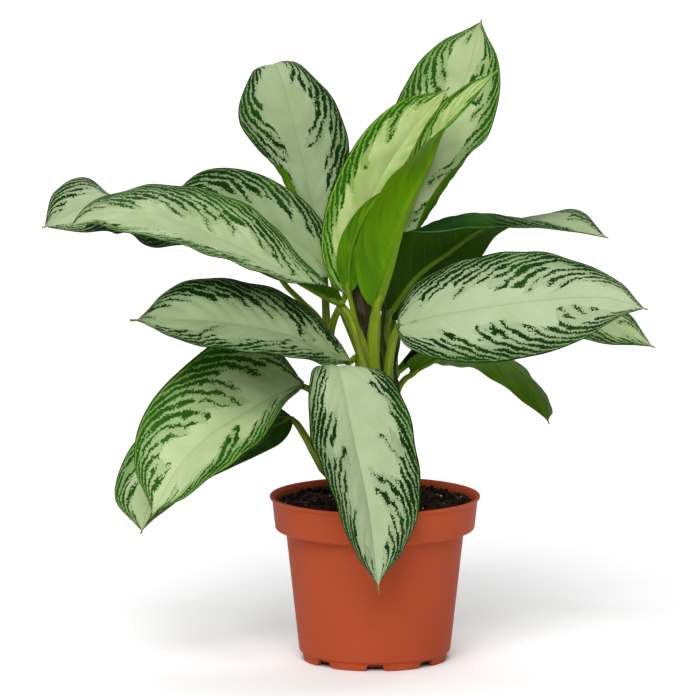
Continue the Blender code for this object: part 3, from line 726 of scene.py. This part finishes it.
def petiolePiece(name, leaf, seed, material):
    p, cane, stem = petioleShape, canes[leaf["on"][0]], leaf["stem"] / 2
    _, _, ribUp, _, ribLength = ribFrame(leaf, np.array([0.0, 0.04]))
    hidden = [curveThrough(leaf["rib"], [reach / ribLength])[0][0]
              for reach in (p["under"] / 2, p["under"])]
    points = [petioleFoot(leaf)] + leaf["stalk"] + [leaf["rib"][0]]
    _, visible = curveThrough(points, [1.0])
    share = np.linspace(0, 1, p["rings"])
    line, total = curveThrough(points + hidden, share)
    distance = share * total
    share = distance / visible  # passes 1 where the stalk runs on beneath the blade

    # the open side faces the cane at first, and the way the blade looks further up
    axis = np.stack([np.full(len(share), cane["x"]), np.full(len(share), cane["y"]), line[:, 2]], -1)
    clasp = 1 - smooth(0.0, p["clasp"], distance)
    along = unit(np.gradient(line, axis=0))
    toCane = axis - line
    if leaf["on"][1] == "top":
        toCane = np.tile([0.0, 1.0, 0.0], (len(share), 1))
    turned = smooth(0.25, 0.8, share)[:, None]
    opens = squareTo(along, unit(toCane) * (1 - turned) + ribUp[0] * turned)
    side = np.cross(along, opens)
    centre = line * (1 - clasp)[:, None] + axis * clasp[:, None]

    end = leaf["sheath"]
    knots = [0, end * 0.3, end * 0.65, end * 0.95, end * 1.02, end * 1.1, 1.0, 1.15]
    radius = stem * np.interp(share, knots, p["radii"])
    radius = radius * (1 - clasp) + (cane["radius"] + p["claspGap"]) * clasp
    span = np.radians(np.interp(share, knots, p["spans"]))
    span = span * (1 - clasp) + math.radians(p["claspSpan"]) * clasp
    hollow = np.interp(share, knots, p["hollows"])
    hollow = (hollow * (1 - clasp) + p["claspHollow"] * clasp) * radius
    wall = np.interp(share, knots, p["walls"]) * (stem / p["wallOf"])
    sink = smooth(0.9, 1.03, share) * radius * 0.95
    centre = centre - ribUp[0] * sink[:, None]

    # each ring is the outer wall, then the inner wall back from lip to lip
    outerAt, innerAt = np.linspace(-1, 1, p["outer"]), np.linspace(1, -1, p["inner"])
    angle = span[:, None] * outerAt[None, :]
    outer = (centre[:, None] - opens[:, None] * (radius[:, None] * np.cos(angle))[..., None]
             + side[:, None] * (radius[:, None] * np.sin(angle))[..., None])
    bow = math.pi * np.linspace(0, 1, p["inner"])[None, :]
    lipX, lipY = np.sin(span) * (radius - wall), -np.cos(span) * (radius - wall)
    sag = -hollow - lipY
    innerX = lipX[:, None] * np.cos(bow)
    innerY = lipY[:, None] + sag[:, None] * np.sin(bow) ** 0.8
    inner = centre[:, None] + side[:, None] * innerX[..., None] + opens[:, None] * innerY[..., None]
    rings = np.concatenate([outer, inner], axis=1)

    around = np.concatenate([outerAt, innerAt])[None, :]
    winged = (1 - smooth(end * 0.98, end * 1.08, share))[:, None]
    flat = np.zeros(rings.shape[:2])
    readings = {
        "along": distance[:, None] + flat, "share": share[:, None] + flat,
        "around": around + flat, "edge": np.abs(around) * winged,
        "dry": flat + leaf["dry"], "youth": flat + leaf["youth"],
        "seed": flat + seed}
    faces = [face[::-1] for face in tubeFaces(*flat.shape)]
    return addPiece("petiole_%s" % name, rings.reshape(-1, 3), faces, [material],
                    ["leaf_%s_petiole" % name], readings, sharp=60)


def makeLeaves():
    blades, stalks = [leafUpper(), leafUnder()], petioleFinish()
    for seed, (name, leaf) in enumerate(leaves.items()):
        bladePiece("leaf_" + name, leaf, seed, blades, ["leaf_%s_blade" % name])
        petiolePiece(name, leaf, seed, stalks)
    print("leaves made:", len(leaves))


# bracts: papery leaf bases left standing between the petioles, shaped as small blades; youth
# turns the dry ones green. The dry ones are also dark sheets put in the shaded gaps between the
# petioles, and their near-black patches are painted shade

bractShape = {
    "width": 17, "widest": .35, "heel": .3, "point": 2.0, "thread": 1.0, "stem": 1.2, "wave": 1.6,
    "fold": ([50, 45, 30], [50, 45, 30]), "curl": ([-50], [-50]),
}
bracts = {
    "bract_front": {
        "rib": [(2, 0, 202), (0, 4.5, 236), (-5, 7.5, 272), (-12, 10, 318)],
        "face": [(.2, -.95, .1), (.2, -.95, .2)], "width": 37, "widest": .68,
        "fold": ([-5, -15, -20], [-5, -15, -20]), "sides": ([.3, .3, .65, .95], [.4, .4, .6])},
    "bract_middle": {
        "rib": [(7.5, 0, 202), (7.5, .5, 232), (6.5, 1, 266), (7, 2, 302)],
        "face": [(0, -1, .1), (0, -1, .1)], "width": 13, "widest": .6, "youth": .8},
    "bract_right": {
        "rib": [(18, 1, 188), (17, -1, 222), (18, -1, 252), (22, 1, 288)],
        "face": [(0, -1, .1), (-.2, -.9, .2)], "width": 11, "youth": 1},
    "bract_left": {
        "rib": [(-32, 5.5, 186), (-36, 2, 214), (-41, -.5, 240), (-44, 0, 262)],
        "face": [(.2, -.9, .2), (.3, -.9, .2)], "width": 9},
}
bractColours = {
    "dry": (0.048, 0.042, 0.017), "dark": (0.012, 0.012, 0.005), "edge": (0.19, 0.17, 0.08),
    "fresh": (0.12, 0.17, 0.035),
}


def bractFinish():
    c = bractColours
    f = Finish("bract", roughness=0.65, Specular_IOR_Level=0.15)
    along, across, offRib, seed, youth = f.readings("along", "across", "offRib", "seed", "youth")
    fibres = f.noise(f.place(along / 40, offRib / 1.1, seed), detail=3.0)
    patches = f.noise(f.place(along / 18, offRib / 8, seed))
    # the near-black patches are painted shade of the gaps the bracts fill
    colour = f.mix(f.between(patches, 0.38, 0.62), c["dry"], c["dark"])
    colour = f.mix(f.between(fibres, 0.5, 0.75) * 0.6, colour, c["edge"])
    colour = f.mix(f.between(abs(across), 0.86, 0.97) * 0.7, colour, c["edge"])
    colour = f.mix(youth, colour, f.mix(fibres, c["fresh"], c["dry"]))
    return f.use(Base_Color=colour, Normal=f.bump(fibres, 0.0005, 0.6))


def makeBracts():
    finish = bractFinish()
    for seed, (name, bract) in enumerate(bracts.items()):
        bladePiece(name, {**usualLeaf, **bractShape, **bract}, seed, [finish, finish])
    print("bracts made:", len(bracts))


# compost: a crumbly heap with lumps, fibres and a few white grains

soil = {
    "middle": 129.8, "edge": 128.6, "wall": 78.2, "rings": 96, "sides": 260,
    "waves": ((38, 0.9), (21, 0.75), (12, 0.6), (7, 0.45), (4.2, 0.4), (2.6, 0.3)),  # length, rise
    "skirt": ((77.6, 122.6), (69.0, 109.0), (0.4, 109.0)),  # reach and height of the hidden rings
    "crumbs": 620, "crumbSizes": (0.8, 3.4), "grains": 46, "grainSizes": (0.5, 1.1),
    "scatter": 77.0, "rim": 77.5, "caneRoom": 7.5,
    "fibres": 110, "fibreScatter": 72.0, "fibreRim": 76, "fibreSides": 5, "fibreRings": 9,
    "dark": (0.006, 0.0035, 0.0025), "brown": (0.035, 0.016, 0.009), "rust": (0.07, 0.028, 0.014),
    "fibre": (0.16, 0.085, 0.04), "grain": (0.55, 0.52, 0.46), "grainShade": (0.36, 0.33, 0.28),
}


def soilFinish():
    f = Finish("compost", roughness=0.95, Specular_IOR_Level=0.08)
    where = f.objectPlace()
    lumps = f.noise(where, scale=330, detail=5.0, roughness=0.65)
    patches = f.noise(where, scale=60, detail=3.0)
    chips = f.spots(where, 420)
    colour = f.mix(f.between(lumps, 0.42, 0.72), soil["dark"], soil["brown"])
    colour = f.mix(f.between(patches, 0.52, 0.7) * 0.4, colour, soil["rust"])
    colour = f.mix((1 - f.between(chips, 0.05, 0.22)) * 0.35, colour, soil["rust"])
    return f.use(Base_Color=colour, Normal=f.bump(lumps + chips * 0.4, 0.0025, 0.9))


def plainFinish(name, colour, other, scale, roughness):
    f = Finish(name, roughness=roughness)
    clouds = f.noise(f.objectPlace(), scale=scale, detail=3.0)
    return f.use(Base_Color=f.mix(f.between(clouds, 0.35, 0.68), colour, other),
                 Normal=f.bump(clouds, 0.0004, 0.6))


def soilHeight(x, y, random):
    # sums of slanted waves make a lumpy surface, a little lower towards the wall
    middle, edge = soil["middle"], soil["edge"]
    height = np.interp(np.hypot(x, y), [0, 45, 68, 79], [middle, middle - 1.2, edge + 0.4, edge])
    for size, rise in soil["waves"]:
        for _ in range(3):
            turn, phase, other = random.uniform(0, 2 * math.pi, 3)
            ahead = (x * math.cos(turn) + y * math.sin(turn)) * 2 * math.pi / size
            cross = (x * math.sin(turn) - y * math.cos(turn)) * 2 * math.pi / (size * 1.3)
            height = height + rise * 0.42 * np.sin(ahead + phase) * np.cos(cross + other)
    return height


def somewhere(random, widest):
    # a point at random on a disc
    reach, turn = widest * math.sqrt(random.uniform(0, 1)), random.uniform(0, 2 * math.pi)
    return reach, reach * math.cos(turn), reach * math.sin(turn)


def lump(random, radius, flatness=0.75):
    # a small irregular crumb
    work = bmesh.new()
    bmesh.ops.create_icosphere(work, subdivisions=2 if radius > 1.3 else 1, radius=1)
    points = np.array([vertex.co for vertex in work.verts])
    faces = [[vertex.index for vertex in face.verts] for face in work.faces]
    work.free()
    bulge = 1 + 0.22 * np.sin(points @ random.uniform(-3, 3, 3) + random.uniform(0, 6))
    bulge = bulge + random.uniform(-0.16, 0.16, len(points))
    points = points * bulge[:, None] * radius * np.array([1, random.uniform(0.6, 1), flatness])
    angle, axis = random.uniform(0, 6.28), Vector(random.uniform(-1, 1, 3)).normalized()
    return points @ np.array(Matrix.Rotation(angle, 3, axis)).T, faces


def scatter(name, count, sizes, finish, random, heights, sink=0.35):
    vertices, faces, start = [], [], 0
    for _ in range(count):
        reach, x, y = somewhere(random, soil["scatter"])
        radius = sizes[0] + (sizes[1] - sizes[0]) * random.uniform(0, 1) ** 2.5
        nearest = min(math.hypot(x - cane["x"], y - cane["y"]) for cane in canes.values())
        if nearest < soil["caneRoom"] + radius or reach > soil["rim"] - radius * 1.3:
            continue
        points, own = lump(random, radius)
        vertices.append(points + np.array([x, y, heights(x, y) + radius * sink]))
        faces += [[start + corner for corner in face] for face in own]
        start += len(points)
    return addPiece(name, np.vstack(vertices), faces, [finish], sharp=40)


def scatterFibres(random, finish, heights):
    # short curved threads that lie on the surface or arch a little over it
    vertices, faces, start = [], [], 0
    sides, rings = soil["fibreSides"], soil["fibreRings"]
    share, around = np.linspace(0, 1, rings), fullTurn(sides)
    for _ in range(soil["fibres"]):
        _, x, y = somewhere(random, soil["fibreScatter"])
        length, heading = random.uniform(4, 15), random.uniform(0, 6.28)
        bend, lift = random.uniform(-0.9, 0.9), random.uniform(0.2, 2.2)
        thickness = random.uniform(0.12, 0.32)
        angle = heading + bend * (share - 0.5) * 2
        px = x + np.cumsum(np.cos(angle)) * length / rings
        py = y + np.cumsum(np.sin(angle)) * length / rings
        if np.hypot(px, py).max() > soil["fibreRim"]:
            continue
        pz = np.array([heights(a, b) for a, b in zip(px, py)]) + lift * np.sin(math.pi * share) + 0.1
        line = np.stack([px, py, pz], -1)
        along = unit(np.gradient(line, axis=0))
        side = unit(np.cross(along, [0, 0, 1.0]))
        top = np.cross(side, along)
        wide = thickness * (1 - 0.6 * np.abs(share - 0.4))[:, None, None]
        tube = line[:, None] + wide * (side[:, None] * np.cos(around)[None, :, None]
                                       + top[:, None] * np.sin(around)[None, :, None])
        vertices.append(tube.reshape(-1, 3))
        faces += tubeFaces(rings, sides, start)
        start += rings * sides
    return addPiece("compost_fibres", np.vstack(vertices), faces, [finish])


def makeSoil():
    random = np.random.default_rng(41)
    rings, sides = soil["rings"], soil["sides"]
    turn, skirt = fullTurn(sides), np.array(soil["skirt"])
    reach = np.concatenate([np.linspace(0.4, soil["wall"], rings), skirt[:, 0]])[:, None]
    x, y = reach * np.cos(turn), reach * np.sin(turn)
    seed = int(random.integers(1000))
    z = soilHeight(x, y, np.random.default_rng(seed))
    z[rings:] = skirt[:, 1:]
    finish = soilFinish()
    addPiece("compost", np.stack([x, y, z], -1).reshape(-1, 3), tubeFaces(len(reach), sides), [finish],
             ["potting_soil"])

    def heights(a, b):
        return float(soilHeight(np.array(a), np.array(b), np.random.default_rng(seed)))

    scatter("compost_crumbs", soil["crumbs"], soil["crumbSizes"], finish, random, heights)
    grains = plainFinish("white_grains", soil["grain"], soil["grainShade"], 900, 0.9)
    scatter("compost_grains", soil["grains"], soil["grainSizes"], grains, random, heights, 0.6)
    scatterFibres(random, plainFinish("fibres", soil["fibre"], soil["rust"], 500, 0.85), heights)
    print("compost made")


# nursery pot: one turned profile, with notches cut through its foot

pot = {
    "height": 134.0, "lip": 85.0, "band": 83.0, "bandFoot": 80.6, "bandHeight": 28.0,
    "bodyTop": 71.8, "bodyFoot": 61.2, "foot": 59.0, "footHeight": 6.6, "wall": 1.8,
    "floorUnder": 3.0, "floorTop": 5.0, "ringInner": 54.5, "steps": 240,
    "notches": 8, "notchTop": 11.5, "notchFoot": 18.5, "notchHeight": 5.8,
    "panelWide": 28.0, "panelDepth": 0.75,
    "colour": (0.385, 0.066, 0.024), "deep": (0.330, 0.052, 0.017), "dust": (0.12, 0.055, 0.03),
}


def potFinish():
    f = Finish("terracotta_plastic", roughness=0.5, Specular_IOR_Level=0.05)
    where = f.objectPlace()
    clouds = f.noise(where, scale=14, detail=3.0)
    speckle = f.noise(where, scale=1500)
    colour = f.mix(f.between(clouds, 0.3, 0.75) * 0.5, pot["colour"], pot["deep"])
    colour = f.mix(f.between(speckle, 0.62, 0.74) * 0.18, colour, pot["deep"])

    # soil dust clings inside, up to a ragged line above the compost
    height = f.node("ShaderNodeSeparateXYZ", values={0: where}, out=2)
    smear = f.noise(where, scale=95, detail=4.0, roughness=0.65)
    dirty = f.reading("inside") * (1 - f.between(height + (smear - 0.5) * 0.009, 0.1235, 0.1305))
    colour = f.mix(dirty * 0.75, colour, pot["dust"])
    stretched = f.node("ShaderNodeVectorMath", {"operation": "MULTIPLY"}, {0: where, 1: (1, 1, 0.12)})
    flow = f.noise(stretched, scale=260)
    bumps = f.bump(speckle * 0.35 + flow * 0.65, 0.00012, 0.5)
    return f.use(Base_Color=colour, Roughness=0.46 + clouds * 0.1 + dirty * 0.3, Normal=bumps)


def rounded(corners, steps=5):
    # corners (x, z, radius) of a profile, each turned into a short arc
    points = []
    for i, (x, z, radius) in enumerate(corners):
        here = np.array([x, z])
        if radius <= 0 or i in (0, len(corners) - 1):
            points.append((x, z))
            continue
        before = np.array(corners[i - 1][:2]) - here
        after = np.array(corners[i + 1][:2]) - here
        cut = min(radius, 0.48 * np.linalg.norm(before), 0.48 * np.linalg.norm(after))
        start = here + before / np.linalg.norm(before) * cut
        end = here + after / np.linalg.norm(after) * cut
        for k in range(steps + 1):
            s = k / steps
            points.append(tuple((1 - s) ** 2 * start + 2 * s * (1 - s) * here + s * s * end))
    return points


def potProfile():
    # from the middle of the floor up the inside, over the lip and down the outside
    p = pot
    rim, step = p["height"], p["height"] - p["bandHeight"]
    wall, low, ring = p["wall"], p["footHeight"], p["ringInner"]
    return rounded([
        (0, p["floorTop"], 0), (ring + 2.3, p["floorTop"], 2.0),
        (p["bodyFoot"] - wall, low + 4, 3.0), (p["bodyTop"] - wall, step - 2.5, 1.5),
        (p["bodyTop"] - wall + 1.2, step + 2.2, 1.5), (p["bandFoot"] - wall, step + 3.6, 2.0),
        (p["band"] - wall, rim - 3, 1.5), (p["lip"] - 2.0, rim, 0.9),
        (p["lip"], rim, 0.7), (p["lip"], rim - 2.2, 0.7), (p["band"] + 0.1, rim - 3.6, 1.0),
        (p["bandFoot"], step + 1.2, 3.4), (p["bandFoot"] - 3.4, step - 0.1, 0.9),
        (p["bodyTop"] + 0.2, step - 0.8, 1.0), (p["bodyFoot"], low + 0.9, 1.1),
        (p["foot"] + 0.25, low - 0.6, 0.8), (p["foot"] - 0.25, 0, 1.3),
        (ring + 0.2, 0, 0.8), (ring, p["floorUnder"], 0.8), (0, p["floorUnder"], 0)])


def notchCutter():
    # one body of flared wedges, one for each notch
    top, foot, high = pot["notchTop"] / 2, pot["notchFoot"] / 2, pot["notchHeight"]
    half = rounded([(foot + 0.4, -1, 0), (foot - 0.4, 0.3, 0.8), (top + 1.2, 2.3, 2.6),
                    (top + 0.3, high, 1.7), (0, high, 0)])[:-1]
    outline = half + [(-x, z) for x, z in reversed(half)]
    whole = bmesh.new()
    for k in range(pot["notches"]):
        turn = Matrix.Rotation(2 * math.pi * k / pot["notches"], 4, "Z")
        near, far = [[whole.verts.new(turn @ Vector((x * mm, -reach * mm, z * mm))) for x, z in outline]
                     for reach in (pot["ringInner"] - 0.9, pot["foot"] + 4)]
        whole.faces.new(near)
        whole.faces.new(list(reversed(far)))
        for i in range(len(outline)):
            j = (i + 1) % len(outline)
            whole.faces.new((near[j], near[i], far[i], far[j]))
    bmesh.ops.recalc_face_normals(whole, faces=whole.faces)
    mesh = bpy.data.meshes.new("notches")
    whole.to_mesh(mesh)
    whole.free()
    cutter = bpy.data.objects.new("notches", mesh)
    bpy.context.scene.collection.objects.link(cutter)
    return cutter


def cutNotches(shell):
    # the cut is worked out once and kept as the pot's own mesh
    cutter = notchCutter()
    cut = shell.modifiers.new("notches", "BOOLEAN")
    cut.operation, cut.solver, cut.object = "DIFFERENCE", "EXACT", cutter
    bpy.context.view_layer.update()
    worked = shell.evaluated_get(bpy.context.evaluated_depsgraph_get())
    finished = bpy.data.meshes.new_from_object(worked)
    shell.modifiers.remove(cut)
    shell.data = finished
    finished.set_sharp_from_angle(angle=math.radians(35))
    bpy.data.objects.remove(cutter)
    return len(finished.polygons)


def makePot():
    profile, rows = potProfile(), []
    for (x0, z0), (x1, z1) in zip(profile, profile[1:]):
        pieces = max(1, int(math.hypot(x1 - x0, z1 - z0) / 6))
        rows += [(x0 + (x1 - x0) * k / pieces, z0 + (z1 - z0) * k / pieces) for k in range(pieces)]
    rows = np.array(rows + [profile[-1]])
    sides = pot["steps"]
    turn = fullTurn(sides)
    reach, height = rows[1:-1, 0][:, None] + 0 * turn, rows[1:-1, 1][:, None] + 0 * turn
    split = int(np.argmax(rows[:, 0] >= pot["lip"] - 1.2))
    outside = (np.arange(len(rows)) >= split)[1:-1, None]

    # a faint sunken panel stands round each notch
    step = 2 * math.pi / pot["notches"]
    across = np.abs((turn + math.pi / 2 + step / 2) % step - step / 2) * pot["bodyFoot"]
    panel = (1 - smooth(pot["panelWide"] / 2 - 0.9, pot["panelWide"] / 2, across))[None, :]
    low, wall = 1 - smooth(4.8, 6.0, height), smooth(58.2, 58.6, reach)
    reach = reach - pot["panelDepth"] * panel * outside * low * wall

    grid = np.stack([reach * np.cos(turn), reach * np.sin(turn), height], -1)
    vertices = np.vstack([grid.reshape(-1, 3), [[0, 0, rows[0, 1]], [0, 0, rows[-1, 1]]]])
    count = len(grid)
    first, last = count * sides, count * sides + 1
    faces = gridFaces(count, sides, closed=True).tolist()
    faces += [[first, (i + 1) % sides, i] for i in range(sides)]
    faces += [[last, first - sides + i, first - sides + (i + 1) % sides] for i in range(sides)]
    inside = np.concatenate([np.repeat(1.0 - outside[:, 0], sides), [1, 0]])
    shell = addPiece("nursery_pot", vertices, [face[::-1] for face in faces], [potFinish()],
                     ["pot"], {"inside": inside})
    print("pot made:", cutNotches(shell), "faces")


# floor, light and camera

studio = {
    "floor": (0.95, 0.95, 0.95), "floorShade": (0.80, 0.80, 0.80), "world": 0.28,
    "key": {"from": (-0.18, -0.85, 0.80), "strength": 2.95, "spread": 42},
    "fill": {"from": (0.6, -0.9, 0.25), "strength": 0.2, "spread": 60},
    "back": {"from": (0.1, 0.5, 0.95), "strength": 1.2, "spread": 60},
    "aim": (-0.02175, 0.0, 0.25403), "distance": 6.0, "lookDown": 8.9, "lens": 385.19,
}


def stand(name, data, location, aim):
    # a lamp or camera that looks at the aim
    made = bpy.data.objects.new(name, data)
    made.location = location
    made.rotation_euler = (aim - made.location).to_track_quat("-Z", "Y").to_euler()
    bpy.context.scene.collection.objects.link(made)
    return made


def makeStudio():
    bpy.ops.mesh.primitive_plane_add(size=60, location=(0, 0, 0))
    floor = bpy.context.object
    floor.name = "studio_floor"
    f = Finish("studio_floor", roughness=0.9)
    tone = f.noise(f.objectPlace(), scale=0.4, detail=1.0)
    colour = f.mix(tone * 0.03, studio["floor"], studio["floorShade"])
    floor.data.materials.append(f.use(Base_Color=colour))

    world = bpy.data.worlds.new("studio")
    bpy.context.scene.world = world
    world.use_nodes = True
    sky = world.node_tree.nodes["Background"]
    sky.inputs["Color"].default_value = (1, 1, 1, 1)
    sky.inputs["Strength"].default_value = studio["world"]

    aim = Vector(studio["aim"])
    for name in ("key", "fill", "back"):
        lamp = bpy.data.lights.new(name, "SUN")
        lamp.energy, lamp.angle = studio[name]["strength"], math.radians(studio[name]["spread"])
        stand(name, lamp, aim + Vector(studio[name]["from"]), aim)
    down = math.radians(studio["lookDown"])
    view = bpy.data.cameras.new("camera")
    view.lens = studio["lens"]
    away = Vector((0, -math.cos(down), math.sin(down)))
    bpy.context.scene.camera = stand("camera", view, aim + studio["distance"] * away, aim)
    bpy.context.scene.view_settings.view_transform = "Standard"
    print("studio made")


makePot()
makeSoil()
makeCanes()
makeLeaves()
makeBracts()
makeStudio()
